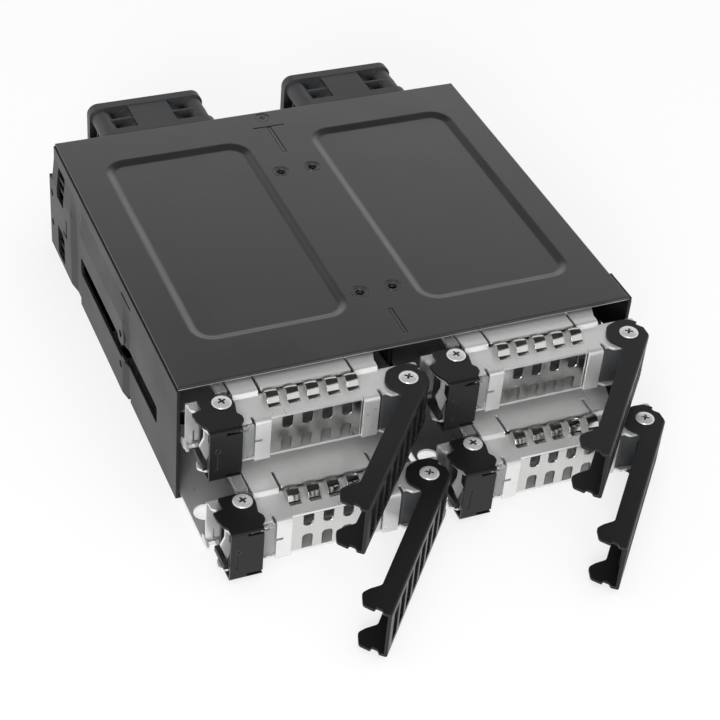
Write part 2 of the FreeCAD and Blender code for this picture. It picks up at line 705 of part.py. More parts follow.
def spring_fingers():
    """Springy grounding strip: a tail under the raised plate and five arched fingers."""
    thin = 0.25
    seat = shelf_w + tray_sheet + thin / 2
    crest = seat + 1.85
    tail = block(window_u0 + 0.3, 11.7, seat - thin / 2, window_u1 - 0.3, 12.5, seat + thin / 2)
    arch = bent_strip([(12.5, seat), (11.3, seat), (10.5, crest), (8.3, crest), (5.6, seat + 0.05),
                       (4.5, seat + 0.05)], thin, 0.6)
    fingers = [tail]
    for k in range(finger_count):
        u = finger_mid_u + (k - (finger_count - 1) / 2) * finger_pitch
        fingers.append(along_x(arch, u - finger_width / 2, u + finger_width / 2))
    return fuse(fingers)


def tray_screws():
    """Latch and lever screws with their collars, and the pins that match them below."""
    solids = []
    for u, v, top in ((latch_u, latch_v, latch_high_w), (pivot_u, pivot_v, lever_high_w)):
        above = top + flange_sheet + 0.04
        head = cross_screw(u, v, above, head_r, 0.62, 0.4)
        foot = shelf_w - 3.05
        shank = rod(u, v, foot, pin_r, above - foot + 0.1)
        body = head.fuse(shank)
        if top > lever_high_w:
            body = body.fuse(rod(u, v, shelf_w + tray_sheet, collar_r, 0.96))
        solids.append(body.removeSplitter())
    solids.append(rod(latch_u, latch_v, latch_low_w + 0.1, pin_r, 6.0))
    solids.append(rod(pivot_u, pivot_v, lever_low_w + 0.1, pin_r, 5.0))
    return Part.makeCompound(solids)


def light_pipe():
    """Clear light guide: a front lens between latch and tab and a bar along the tray."""
    top = shelf_w - 0.45
    lens = plan(oblong(12.2, -0.4, 16.2, 1.4, 0.5), 5.0, top)
    feet = [rod(13.2, -0.4, 5.0, 1.0, 1.8, BACK), rod(15.2, -0.4, 5.0, 1.0, 1.8, BACK)]
    clip = block(16.1, 0.1, middle_w - 0.15, 18.2, 0.7, middle_w + 0.45)
    arm = block(12.6, 1.0, top - 1.8, 14.6, 15.0, top)
    jog = block(9.5, 13.6, top - 1.8, 14.6, 15.0, top)
    rise = block(9.5, 13.6, top - 1.8, 12.7, 15.0, raised_w + 0.55)
    bar = block(9.5, 13.6, shelf_w + 0.55, 12.7, light_bar_end, raised_w + 0.55)
    return fuse([lens, clip, arm, jog, rise, bar] + feet)


def hinge_block():
    """Moulded block under the shelf that the lever screw goes into."""
    low, high = sole_top, shelf_w
    left, right = pivot_u - 9.8, pivot_u + 3.8
    outline = [
        (left, 1.4, 1.6), (pivot_u - 5.2, 0.6, 1.0), (pivot_u + 1.6, 0.2, 2.0), (right, 3.0, 2.0),
        (right, 10.8, 1.2), (left, 10.8, 1.2),
    ]
    body = plan(rounded(outline), low, high)
    groove = block(pivot_u - 3.6, -1, low + 3.0, pivot_u - 2.4, 3.0, high - 3.0)
    bores = [rod(pivot_u, pivot_v, 0, pin_r + 0.05, 8),
             rod(pivot_u, pivot_v, shelf_w - 3.65, pin_r + 0.05, 6)]
    return cut(body, [groove] + bores)


def latch_post():
    """Black post behind the latch, with a low arm that runs forward at the left."""
    low, high = sole_top, shelf_w
    post = rod(latch_u, latch_v, low, 2.6, high - low)
    plate = block(2.4, 6.2, low, latch_u, 7.4, high)
    arm = block(1.0, -0.6, low + 0.4, 2.4, 7.4, low + 2.2)
    body = fuse([post, plate, arm])
    bores = [rod(latch_u, latch_v, 0, pin_r + 0.05, 7),
             rod(latch_u, latch_v, shelf_w - 3.65, pin_r + 0.05, 6)]
    return cut(body, bores)


def latch():
    """Bent catch: cam-shaped top flange, tall front plate and a shorter flange below."""
    low, high = latch_low_w, latch_high_w + flange_sheet
    path = [(14.0, high - 0.4), (-2.45, high - 0.4), (-2.45, low + 0.4), (14.0, low + 0.4)]
    channel = along_x(bent_strip(path, flange_sheet, 0.35), -1, 16)
    left, right = 2.1, 11.7
    upper = [
        (left, -4, 0), (right, -4, 0), (right, -1.2, 0), (13.1, 0.5, 0.6), (13.1, 2.2, 0.5),
        (12.1, 3.8, 0.8), (12.9, 7.6, 2.0), (12.6, 12.4, 3.4), (3.1, 12.2, 0.8), (3.1, 7.8, 0.5),
        (0.0, 6.9, 0.4), (0.2, 4.2, 1.5), (0.9, 1.6, 1.0), (left, -0.1, 0.5),
    ]
    lower = [
        (left, -4, 0), (right, -4, 0), (right, 1.0, 0), (12.2, 4.0, 1.0), (12.2, 11.0, 2.6),
        (6.8, 11.0, 2.6), (3.8, 6.0, 1.0), (left, 2.0, 0.6),
    ]
    top = channel.common(plan(rounded(upper), middle_w, 30))
    bottom = channel.common(plan(rounded(lower), -2, middle_w))
    body = fuse([top, bottom])
    slot = block(3.6, -3.4, middle_w - 4.6, 4.6, -2.6, middle_w + 1.0)
    dimple = rod(4.6, -3.4, middle_w + 2.1, 0.75, 0.7, BACK)
    tools = [rod(latch_u, latch_v, -2, bore_r, 24), slot, dimple]
    # Slots that let the two hooked flanges of the closing lever pass the front plate
    for w, under, over in ((lever_low_w, 0.1, 0.25), (lever_high_w, 0.25, 0.1)):
        tools.append(block(hook_slot_u, -3.4, w - under, 12.5, -1.3, w + flange_sheet + over))
    return cut(body, tools)


def lever():
    """Swing lever in its closed direction: a channel with hooked flanges about its pivot."""
    end = -lever_length
    outline = [
        (1.3, -lever_face, 0), (4.4, -3.6, 0.6), (4.9, -1.0, 0.3), (6.3, -1.2, 0.2),
        (6.4, 1.6, 0.5), (4.6, 4.4, 2.5), (0.6, 6.9, 3.6), (-5.6, 5.8, 4.6), (-7.4, -0.2, 2.2),
        (end + 9.8, -0.3, 1.4), (end + 7.2, 2.4, 2.0), (end + 5.0, 3.9, 1.8), (end + 1.0, 2.4, 1.4),
        (end + 0.3, -1.0, 0.3), (end + 1.4, -1.3, 0.3), (end + 1.1, -2.9, 0.5), (end, -3.7, 0.4),
        (end, -lever_face, 0),
    ]
    shape = rounded(outline)
    bottom = plan(shape, lever_low_w, lever_low_w + flange_sheet)
    top = plan(shape, lever_high_w, lever_high_w + flange_sheet)
    top_w = lever_high_w + flange_sheet
    face = plan(oblong(end, -lever_face, 1.3, -lever_face + lever_face_sheet, 0),
                lever_low_w, top_w)
    tools = []
    count = 8
    pitch = (lever_length - 4.2) / count
    for k in range(count):
        a = end + 3.2 + k * pitch
        tools.append(along_y(oblong(a, lever_low_w + 2.4, a + pitch - 1.8, top_w - 2.4, 0.4),
                             -lever_face - 1, -lever_face + 2))
    tools.append(rod(0, 0, -1, bore_r, 30))
    tools.append(block(0.2, -lever_face - 1, lever_low_w + 3, 2, -lever_face + 2, top_w - 3))
    body = fuse([bottom, top, face])
    edges = []
    for edge in body.Edges:
        box = edge.BoundBox
        flat = abs(box.YMin + lever_face) < 1e-4 and abs(box.YMax + lever_face) < 1e-4
        level = box.ZLength < 1e-4 and box.XLength > 40
        if flat and level:
            edges.append(edge)
    body = body.makeFillet(0.7, edges)
    return cut(body, tools)


os.makedirs("parts", exist_ok=True)

save("chassis", chassis())
save("top_cover", top_cover())
save("cover_fasteners", cover_fasteners())
save("divider", divider())
save("shelf_left", tier_shelf(-1))
save("shelf_right", tier_shelf(1))
save("backplane", backplane())
save("drive_connectors", drive_connectors())
save("data_connectors", data_connectors())
save("power_connectors", power_connectors())
save("rear_panel", rear_panel())
save("fan_frame_left", fan_frame(-1))
save("fan_frame_right", fan_frame(1))
save("fan_rotor_left", fan_rotor(-1))
save("fan_rotor_right", fan_rotor(1))
save("fan_screws", fan_screws())

tray_parts = {
    "tray_pan": tray_pan(),
    "tray_hood": tray_hood(),
    "vent_panel": vent_panel(),
    "spring_fingers": spring_fingers(),
    "tray_screws": tray_screws(),
    "light_pipe": light_pipe(),
    "hinge_block": hinge_block(),
    "latch_post": latch_post(),
    "latch": latch(),
}
closed_lever = lever()
closed_lever.translate(V(pivot_u, pivot_v, 0))

for tray in ("ul", "ur", "ll", "lr"):
    for name, shape in tray_parts.items():
        save(name, shape, tray)
    save("lever", closed_lever, tray, (pivot_u, pivot_v, lever_open))
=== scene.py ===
# %% [markdown]
# # Hot swap drive cage
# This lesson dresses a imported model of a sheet-metal cage that holds four drive trays. The solids come
# from CAD and stay where they are. Here they get their finishes, and a few small pieces are added to
# them.

# %% Load the frame
import json
import math
import bmesh
import bpy
from mathutils import Matrix, Vector


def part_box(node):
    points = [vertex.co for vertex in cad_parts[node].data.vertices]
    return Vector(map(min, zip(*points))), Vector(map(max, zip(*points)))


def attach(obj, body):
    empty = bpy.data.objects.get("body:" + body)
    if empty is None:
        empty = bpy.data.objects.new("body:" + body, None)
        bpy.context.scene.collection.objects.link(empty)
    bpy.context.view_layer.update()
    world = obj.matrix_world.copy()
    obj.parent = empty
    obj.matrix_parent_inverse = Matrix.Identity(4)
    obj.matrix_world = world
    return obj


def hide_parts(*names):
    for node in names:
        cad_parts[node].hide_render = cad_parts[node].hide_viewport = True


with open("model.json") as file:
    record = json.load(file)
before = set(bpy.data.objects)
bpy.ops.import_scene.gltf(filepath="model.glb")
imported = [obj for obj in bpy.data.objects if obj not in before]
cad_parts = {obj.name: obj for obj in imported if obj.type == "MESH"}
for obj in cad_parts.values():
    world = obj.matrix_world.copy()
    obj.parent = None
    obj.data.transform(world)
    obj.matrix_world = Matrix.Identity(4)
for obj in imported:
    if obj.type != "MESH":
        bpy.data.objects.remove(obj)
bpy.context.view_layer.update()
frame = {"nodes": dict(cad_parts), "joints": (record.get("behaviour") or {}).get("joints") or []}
nodes = frame["nodes"]
trays = ("ul", "ur", "ll", "lr")

# %% [markdown]
# ## Camera
# The photograph looks down on the front left corner. Its lens is long, so the edges hardly converge. A
# camera can be turned by hand until it fits, but here its three axes are written as a matrix: right, up
# and backwards. They came from fitting the corners and screw holes, whose real places are known.

# %% Camera at the photograph's viewing angle
MM = 0.001
camera_data = bpy.data.cameras.new("photo_camera")
camera_data.sensor_width = 36.0
camera_data.lens = 91.9
camera_data.shift_x = 0.0288
camera_data.shift_y = -0.0095
camera_data.clip_start = 0.01
camera = bpy.data.objects.new("photo_camera", camera_data)
bpy.context.scene.collection.objects.link(camera)
camera_right = Vector((0.92575, -0.37128, 0.06550)).normalized()
camera_back = Vector((-0.32680, -0.70700, 0.62720))
camera_back = (camera_back - camera_back.dot(camera_right) * camera_right).normalized()
camera_up = camera_back.cross(camera_right)
turn = Matrix((camera_right, camera_up, camera_back)).transposed().to_4x4()
camera_spot = Vector((-195.4, -435.6, 371.4)) * MM
camera.matrix_world = Matrix.Translation(camera_spot) @ turn
bpy.context.scene.camera = camera
bpy.context.scene.view_settings.view_transform = "Standard"
print("camera at", tuple(round(c, 4) for c in camera.location))

# %% [markdown]
# ## Helpers for nodes
# Masks and strengths are worked out with Math nodes. Each takes two numbers or sockets, so one small
# function saves writing the same four lines every time. A second one tells apart the rays that see a
# surface from those that only carry its light on.

# %% Math node helper
def math_node(tree, operation, a, b, clamp=False):
    node = tree.nodes.new("ShaderNodeMath")
    node.operation = operation
    node.use_clamp = clamp
    for slot, value in enumerate((a, b)):
        if isinstance(value, (int, float)):
            node.inputs[slot].default_value = value
        else:
            tree.links.new(value, node.inputs[slot])
    return node.outputs[0]


# %% Masks for the rays that see a surface
def seen_masks(tree):
    """Mask of the camera's own rays, and mask of those with the ones mirrored or let through plastic."""
    rays = tree.nodes.new("ShaderNodeLightPath")
    from_camera = rays.outputs["Is Camera Ray"]
    seen = math_node(tree, "MAXIMUM", from_camera, rays.outputs["Is Glossy Ray"])
    return from_camera, math_node(tree, "MAXIMUM", seen, rays.outputs["Is Transmission Ray"])


# %% [markdown]
# ## Light
# Black metal is photographed by what it reflects. Here the surround is white near the horizon, as the
# sweep of a product studio is, and falls to near black overhead, so upright faces glow and level ones
# stay dark. Diffuse light gets a plain fill that is stronger overhead, so the bays fall dark towards the
# back. One large soft lamp overhead adds the shadow that seats the cage on its paper. Bright steel would
# mirror it, so it is hidden from mirrored rays. A smaller one, low in front on the left, lights the pale
# fronts of the trays.

# %% World
world = bpy.data.worlds.new("studio")
bpy.context.scene.world = world
world.use_nodes = True
sky = world.node_tree
sky.nodes.clear()
sky_place = sky.nodes.new("ShaderNodeTexCoord")
sky_height = sky.nodes.new("ShaderNodeSeparateXYZ")
sky.links.new(sky_place.outputs["Generated"], sky_height.inputs[0])


def by_height(low, high, at_low, at_high, interpolation="LINEAR"):
    """Strength of the surround, from at_low where its height is low to at_high where its height is high."""
    ramp = sky.nodes.new("ShaderNodeMapRange")
    ramp.interpolation_type = interpolation
    for label, value in (("From Min", low), ("From Max", high), ("To Min", at_low), ("To Max", at_high)):
        ramp.inputs[label].default_value = value
    sky.links.new(sky_height.outputs["Z"], ramp.inputs["Value"])
    return ramp.outputs["Result"]


sky_from_camera, sky_seen = seen_masks(sky)
mirrored = by_height(0.45, 0.72, 1.0, 0.03, "SMOOTHSTEP")
sky_pick = sky.nodes.new("ShaderNodeMixShader")
sky.links.new(sky_seen, sky_pick.inputs[0])
strengths = (by_height(-0.1, 0.9, 0.14, 0.85), math_node(sky, "MAXIMUM", sky_from_camera, mirrored))
for slot, strength in enumerate(strengths, 1):
    backdrop = sky.nodes.new("ShaderNodeBackground")
    backdrop.inputs["Color"].default_value = (1.0, 1.0, 1.0, 1.0)
    sky.links.new(strength, backdrop.inputs["Strength"])
    sky.links.new(backdrop.outputs[0], sky_pick.inputs[slot])
sky_out = sky.nodes.new("ShaderNodeOutputWorld")
sky.links.new(sky_pick.outputs[0], sky_out.inputs["Surface"])
print("nodes in the surround:", len(sky.nodes))


# %% Lamps
def add_lamp(name, place, aim, size, power):
    data = bpy.data.lights.new(name, "AREA")
    data.shape = "RECTANGLE"
    data.size, data.size_y = size
    data.energy = power
    lamp = bpy.data.objects.new(name, data)
    bpy.context.scene.collection.objects.link(lamp)
    lamp.location = place
    lamp.rotation_euler = (Vector(aim) - Vector(place)).to_track_quat("-Z", "Y").to_euler()
    return lamp


lamp_over = add_lamp("lamp_over", place=(0.2, -0.3, 1.15), aim=(0, -0.02, 0.02), size=(1.2, 0.9), power=3.0)
lamp_over.visible_glossy = False
add_lamp("lamp_front", place=(-0.6, -1.05, 0.48), aim=(0, -0.05, 0.02), size=(0.5, 0.35), power=11.0)
print("lamps:", len(bpy.data.lights))

# %% [markdown]
# ## Floor
# The cage stands on white paper. The paper is a wide plane with a plain pale finish. Where it is seen, it
# glows white as a studio sweep does, but it still takes the cage's shadow because only part of its light
# is its own. Rays that only carry its light on get the plain paper.

# %% Floor
floor_reach = 4.0
floor_drawn = bmesh.new()
bmesh.ops.create_grid(floor_drawn, x_segments=1, y_segments=1, size=floor_reach)
floor_mesh = bpy.data.meshes.new("studio_floor")
floor_drawn.to_mesh(floor_mesh)
studio_floor = bpy.data.objects.new("studio_floor", floor_mesh)
bpy.context.scene.collection.objects.link(studio_floor)
print("floor is", 2 * floor_reach, "m wide")

# %% White paper
own_light = 0.72
paper = bpy.data.materials.new("white_paper")
paper.use_nodes = True
paper_tree = paper.node_tree
paper_shader = paper_tree.nodes["Principled BSDF"]
paper_shader.inputs["Base Color"].default_value = (0.93, 0.93, 0.93, 1)
paper_shader.inputs["Roughness"].default_value = 0.9
paper_glow = paper_tree.nodes.new("ShaderNodeEmission")
paper_glow.inputs["Strength"].default_value = 1.0
paper_mix = paper_tree.nodes.new("ShaderNodeMixShader")
paper_seen = seen_masks(paper_tree)[1]
paper_tree.links.new(math_node(paper_tree, "MULTIPLY", paper_seen, own_light), paper_mix.inputs[0])
paper_tree.links.new(paper_shader.outputs[0], paper_mix.inputs[1])
paper_tree.links.new(paper_glow.outputs[0], paper_mix.inputs[2])
paper_tree.links.new(paper_mix.outputs[0], paper_tree.nodes["Material Output"].inputs["Surface"])
floor_mesh.materials.append(paper)
print("paper:", paper.name)

# %% [markdown]
# ## Shared effects
# Several finishes need the same two effects, so each is a node group that is built once. The first is
# fine grain: the pebbled skin of powder coat or moulded plastic. The second finds edges, where paint is
# thin and wears and where a painted highlight is laid on, by comparing the true normal with one that has
# been rounded by a small radius.


# %% Node group helper
def new_group(name, inputs, outputs):
    group = bpy.data.node_groups.new(name, "ShaderNodeTree")
    for label, kind, value in inputs:
        socket = group.interface.new_socket(label, in_out="INPUT", socket_type=kind)
        socket.default_value = value
    for label, kind in outputs:
        group.interface.new_socket(label, in_out="OUTPUT", socket_type=kind)
    return group, group.nodes.new("NodeGroupInput"), group.nodes.new("NodeGroupOutput")


# %% Grain group
grain_group, grain_in, grain_out = new_group(
    "fine_grain",
    [("Scale", "NodeSocketFloat", 1500.0), ("Mottle Scale", "NodeSocketFloat", 60.0)],
    [("Grain", "NodeSocketFloat"), ("Mottle", "NodeSocketFloat")])
place_node = grain_group.nodes.new("ShaderNodeTexCoord")
pebbles = grain_group.nodes.new("ShaderNodeTexNoise")
pebbles.inputs["Detail"].default_value = 3.0
pebbles.inputs["Roughness"].default_value = 0.6
clouds = grain_group.nodes.new("ShaderNodeTexNoise")
clouds.inputs["Detail"].default_value = 4.0
for texture, name in ((pebbles, "Scale"), (clouds, "Mottle Scale")):
    grain_group.links.new(place_node.outputs["Object"], texture.inputs["Vector"])
    grain_group.links.new(grain_in.outputs[name], texture.inputs["Scale"])
grain_group.links.new(pebbles.outputs["Fac"], grain_out.inputs["Grain"])
grain_group.links.new(clouds.outputs["Fac"], grain_out.inputs["Mottle"])

# %% Edge group
edge_group, edge_in, edge_out = new_group(
    "edge_light",
    [("Radius", "NodeSocketFloat", 0.0004), ("Strength", "NodeSocketFloat", 1.0)],
    [("Normal", "NodeSocketVector"), ("Edge", "NodeSocketFloat")])
rounder = edge_group.nodes.new("ShaderNodeBevel")
rounder.samples = 4
edge_group.links.new(edge_in.outputs["Radius"], rounder.inputs["Radius"])
flat_normal = edge_group.nodes.new("ShaderNodeNewGeometry")
lean = edge_group.nodes.new("ShaderNodeVectorMath")
lean.operation = "DOT_PRODUCT"
edge_group.links.new(rounder.outputs["Normal"], lean.inputs[0])
edge_group.links.new(flat_normal.outputs["True Normal"], lean.inputs[1])
off_square = math_node(edge_group, "SUBTRACT", 1.0, lean.outputs["Value"])
edge_mask = math_node(edge_group, "MULTIPLY", off_square, 4.0, clamp=True)
edge_mask = math_node(edge_group, "MULTIPLY", edge_mask, edge_in.outputs["Strength"], clamp=True)
edge_group.links.new(rounder.outputs["Normal"], edge_out.inputs["Normal"])
edge_group.links.new(edge_mask, edge_out.inputs["Edge"])
print("groups:", [g.name for g in bpy.data.node_groups])

# %% [markdown]
# ## Steps that finishes share
# Every finish places the same groups, mixes two tones and turns a height into a normal. Each of these
# steps is a short function, so that a finish reads as a list of what it is made of.


# %% Steps of a finish
def new_finish(name):
    material = bpy.data.materials.new(name)
    material.use_nodes = True
    return material, material.node_tree, material.node_tree.nodes["Principled BSDF"]


def placed_grain(tree, pebbles_per_metre, clouds_per_metre):
    """The grain group in a finish. Its outputs are the grain and the mottle."""
    grain = tree.nodes.new("ShaderNodeGroup")
    grain.node_tree = grain_group
    grain.inputs["Scale"].default_value = pebbles_per_metre
    grain.inputs["Mottle Scale"].default_value = clouds_per_metre
    return grain.outputs["Grain"], grain.outputs["Mottle"]


def placed_edges(tree, radius, strength=1.0):
    """The edge group in a finish, for a radius in millimetres. Its outputs are the normal and the edge."""
    edges = tree.nodes.new("ShaderNodeGroup")
    edges.node_tree = edge_group
    edges.inputs["Radius"].default_value = radius * MM
    edges.inputs["Strength"].default_value = strength
    return edges.outputs["Normal"], edges.outputs["Edge"]


def toned(tree, mask, low, high):
    """Colour that goes from low to high with a mask. Each is three numbers or a socket."""
    mix = tree.nodes.new("ShaderNodeMix")
    mix.data_type = "RGBA"
    tree.links.new(mask, mix.inputs["Factor"])
    for label, colour in (("A", low), ("B", high)):
        if isinstance(colour, bpy.types.NodeSocket):
            tree.links.new(colour, mix.inputs[label])
        else:
            mix.inputs[label].default_value = (*colour, 1)
    return mix.outputs["Result"]


def swung(tree, mask, reach):
    """A mask of 0 to 1 made a swing about zero, with reach from end to end."""
    return math_node(tree, "MULTIPLY", math_node(tree, "SUBTRACT", mask, 0.5), reach)


def bumped(tree, height, strength, depth, normal=None):
    """Normal of a surface that a height roughens, by depth metres at most."""
    bump = tree.nodes.new("ShaderNodeBump")
    bump.inputs["Strength"].default_value = strength
    bump.inputs["Distance"].default_value = depth
    tree.links.new(height, bump.inputs["Height"])
    if normal is not None:
        tree.links.new(normal, bump.inputs["Normal"])
    return bump.outputs["Normal"]


def join_up(tree, shader, colour, rough, normal):
    for label, source in (("Base Color", colour), ("Roughness", rough), ("Normal", normal)):
        tree.links.new(source, shader.inputs[label])


# %% [markdown]
# ## Finishes
# Each finish is one Principled shader. Paint and plastic differ mostly in grain, gloss and how far their
# edges are worn and lit by a painted highlight, so one function makes them all from a few plain values.
# Plated steel has its own function, because its tone comes from what it reflects.


# %% Coated and moulded finishes
def coated(name, colour, edge_wear_and_highlight, roughness, pebbles, depth, edge=0.6, radius=0.3, shine=0.5):
    """Paint or plastic: colour, edge colour for wear and a painted highlight, gloss, pebbles per metre and
    their depth (metres).
    """
    material, tree, shader = new_finish(name)
    shader.inputs["Specular IOR Level"].default_value = shine
    grain, mottle = placed_grain(tree, pebbles, clouds_per_metre=45.0)
    rounded, rim = placed_edges(tree, radius, edge)
    tone = toned(tree, mottle, [c * 0.88 for c in colour], [c * 1.12 for c in colour])
    rough = math_node(tree, "ADD", swung(tree, mottle, 0.24), roughness, clamp=True)
    # Wear and painted highlight: edges are mixed towards a paler colour, partly worn paint and partly a
    # highlight painted in.
    join_up(tree, shader, toned(tree, rim, tone, edge_wear_and_highlight), rough, bumped(tree, grain, 0.6, depth, rounded))
    return material


cage_coat = coated("cage_powder_coat", (0.013, 0.013, 0.0134), (0.1, 0.1, 0.102), 0.42, 2600, 0.00002,
                   edge=0.12, shine=0.25)
cover_coat = coated("cover_powder_coat", (0.017, 0.017, 0.0175), (0.1, 0.1, 0.102), 0.3, 2600, 0.00001,
                    edge=0.1, radius=0.4, shine=1.0)
lever_coat = coated("lever_coat", (0.008, 0.008, 0.0085), (0.06, 0.06, 0.062), 0.36, 3000, 0.000012,
                    shine=0.3)
block_plastic = coated("hinge_block_plastic", (0.05, 0.052, 0.056), (0.1, 0.1, 0.105), 0.4, 1800, 0.00002)
socket_plastic = coated("socket_plastic", (0.012, 0.012, 0.013), (0.04, 0.04, 0.04), 0.45, 2200, 0.00002)
fan_plastic = coated("fan_plastic", (0.03, 0.031, 0.033), (0.09, 0.09, 0.095), 0.5, 1600, 0.00003)
board_mask = coated("board_mask", (0.012, 0.07, 0.03), (0.05, 0.12, 0.07), 0.3, 900, 0.00001)
print("coats:", cage_coat.name, lever_coat.name, fan_plastic.name)


# %% Plated steel finishes
def plated(name, colour, roughness, brush, radius=0.12, metal=0.5):
    """Plated sheet: rolling lines over a clouded zinc tone. brush is how fast they change along x, y, z."""
    material, tree, shader = new_finish(name)
    shader.inputs["Metallic"].default_value = metal
    where = tree.nodes.new("ShaderNodeTexCoord")
    stretch = tree.nodes.new("ShaderNodeMapping")
    stretch.inputs["Scale"].default_value = brush
    lines = tree.nodes.new("ShaderNodeTexNoise")
    lines.inputs["Scale"].default_value = 700.0
    lines.inputs["Detail"].default_value = 4.0
    tree.links.new(where.outputs["Object"], stretch.inputs["Vector"])
    tree.links.new(stretch.outputs["Vector"], lines.inputs["Vector"])
    rolling = lines.outputs["Fac"]
    mottle = placed_grain(tree, pebbles_per_metre=2000.0, clouds_per_metre=90.0)[1]
    rounded = placed_edges(tree, radius)[0]
    tone = toned(tree, mottle, [c * 0.9 for c in colour], [c * 1.08 for c in colour])
    swing = math_node(tree, "ADD", swung(tree, rolling, 0.25), swung(tree, mottle, 0.2))
    rough = math_node(tree, "ADD", swing, roughness, clamp=True)
    join_up(tree, shader, tone, rough, bumped(tree, rolling, 0.5, 0.00001, rounded))
    return material


panel_plate = plated("panel_plate", (0.66, 0.66, 0.65), 0.2, (1.0, 1.0, 0.08), radius=0.25, metal=1.0)
contact_gold = plated("contact_gold", (0.83, 0.62, 0.28), 0.25, (1.0, 1.0, 1.0), radius=0.05, metal=1.0)
tray_plate = plated("tray_plate", (0.78, 0.78, 0.775), 0.34, (1.0, 0.08, 1.0), metal=0.64)
spring_plate = plated("spring_plate", (0.64, 0.63, 0.61), 0.15, (1.0, 0.1, 1.0), radius=0.1, metal=1.0)
screw_plate = plated("screw_plate", (0.7, 0.7, 0.69), 0.26, (1.0, 1.0, 1.0))
print("plates:", tray_plate.name, panel_plate.name, spring_plate.name)

# %% [markdown]
# ## Clear plastic
# The light pipes are clear moulded bars. They carry the light of an indicator from the back of the tray
# to its front. Small mouldings are a little wavy inside, so a glass-like transmission gets slow waves in
# its normal and a gloss that changes with them.

# %% Light pipe finish
light_plastic, light_tree, light_shader = new_finish("light_pipe_plastic")
light_shader.inputs["Transmission Weight"].default_value = 0.85
light_shader.inputs["IOR"].default_value = 1.49
waves = placed_grain(light_tree, pebbles_per_metre=900.0, clouds_per_metre=160.0)[1]
light_tone = toned(light_tree, waves, (0.88, 0.9, 0.9), (0.97, 0.98, 0.98))
light_rough = math_node(light_tree, "ADD", math_node(light_tree, "MULTIPLY", waves, 0.2), 0.02)
join_up(light_tree, light_shader, light_tone, light_rough, bumped(light_tree, waves, 0.7, 0.00012))
print("clear plastic:", light_plastic.name)

# %% [markdown]
# ## A finish for every solid
# Each solid is one part made of one material, so it gets one finish. The four trays are alike, so theirs
# are listed once by piece and then given to all four.

# %% Give every node its finish
finish_of = {
    "chassis": cage_coat, "top_cover": cover_coat, "divider": cover_coat, "shelf_left": cage_coat,
    "shelf_right": cage_coat, "rear_panel": cage_coat, "cover_fasteners": cover_coat,
    "fan_screws": screw_plate, "backplane": board_mask, "drive_connectors": socket_plastic,
    "data_connectors": socket_plastic, "power_connectors": socket_plastic,
    "fan_frame_left": fan_plastic, "fan_frame_right": fan_plastic,
    "fan_rotor_left": fan_plastic, "fan_rotor_right": fan_plastic,
}
tray_finish = {
    "tray_pan": tray_plate, "tray_hood": tray_plate, "vent_panel": panel_plate,
    "spring_fingers": spring_plate, "tray_screws": screw_plate, "light_pipe": light_plastic,
    "hinge_block": block_plastic, "latch_post": socket_plastic, "latch": lever_coat, "lever": lever_coat,
}
for piece, finish in tray_finish.items():
    for tray in trays:
        finish_of[piece + "_" + tray] = finish
for name, node in nodes.items():
    node.data.materials.clear()
    node.data.materials.append(finish_of[name])
print("finishes given:", len(finish_of))

# %% [markdown]
# ## Pieces made here
# The solids leave out what is too fine for them: domed screw heads with a deep cross, springs that are
# bent in true curves, the louvres in the levers and the metal contacts. These are drawn in millimetres,
# each in the place it has in its tray or cage, and only then scaled to metres and moved. A piece rides on
# the body that carries it, so it follows when a tray slides or a lever swings.


# %% Measures from the frame
def in_mm(place):
    return [round(c / MM, 3) for c in place]


def solid_box(node):
    """Lowest and highest corner of a solid, in millimetres."""
    return [in_mm(corner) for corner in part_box(node)]


pan_tip, pan_gap = 0.3, 0.2
tray_corner = {}
for tray in trays:
    left, front, low = solid_box("tray_pan_" + tray)[0]
    tray_corner[tray] = (left, front + pan_tip, low - pan_gap)
print("tray corners:", tray_corner)


# %% Spots inside a tray
def spot_in_tray(joint_name):
    """Place of a joint's axis from the corner of the upper left tray. All four trays are alike."""
    joint = next(joint for joint in frame["joints"] if joint["name"] == joint_name)
    return [round(a - b, 3) for a, b in zip(in_mm(joint["pos_m"])[:2], tray_corner["ul"])]


def foot_and_top(piece):
    """Heights of a piece's foot and top above the floor of its tray."""
    return [round(corner[2] - tray_corner["ul"][2], 3) for corner in solid_box(piece + "_ul")]


latch_spot, lever_spot = spot_in_tray("latch_press_ul"), spot_in_tray("lever_swing_ul")
lever_open = 50
tray_place = {}
lever_place = {}
for tray in trays:
    tray_place[tray] = Matrix.Translation(tray_corner[tray])
    swing = Matrix.Translation((*lever_spot, 0)) @ Matrix.Rotation(math.radians(lever_open), 4, "Z")
    lever_place[tray] = tray_place[tray] @ swing
print("latch and lever turn at", latch_spot, lever_spot)


# %% Helpers that finish a piece
def piece_from(name, drawn, place, body, finishes, smooth=35):
    """Scale a drawing from millimetres to metres, give it its finishes and let it ride on a body."""
    mesh = bpy.data.meshes.new(name)
    drawn.to_mesh(mesh)
    mesh.transform(Matrix.Scale(MM, 4) @ place)
    for finish in finishes:
        mesh.materials.append(finish)
    mesh.shade_smooth()
    mesh.set_sharp_from_angle(angle=math.radians(smooth))
    piece = bpy.data.objects.new(name, mesh)
    bpy.context.scene.collection.objects.link(piece)
    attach(piece, body)
    return piece


def bar(drawn, low, high, edge=0.0):
    """Straight bar between two corners, its edges broken by a small bevel."""
    before = set(drawn.verts)
    made = bmesh.ops.create_cube(drawn, size=1.0)["verts"]
    size = [b - a for a, b in zip(low, high)]
    middle = [(a + b) / 2 for a, b in zip(low, high)]
    bmesh.ops.scale(drawn, verts=made, vec=size)
    bmesh.ops.translate(drawn, verts=made, vec=middle)
    if edge:
        rims = list({e for vert in made for e in vert.link_edges})
        bmesh.ops.bevel(drawn, geom=rims, offset=edge, segments=2, profile=0.5, affect="EDGES",
                        material=-1)
    return [vert for vert in drawn.verts if vert not in before]


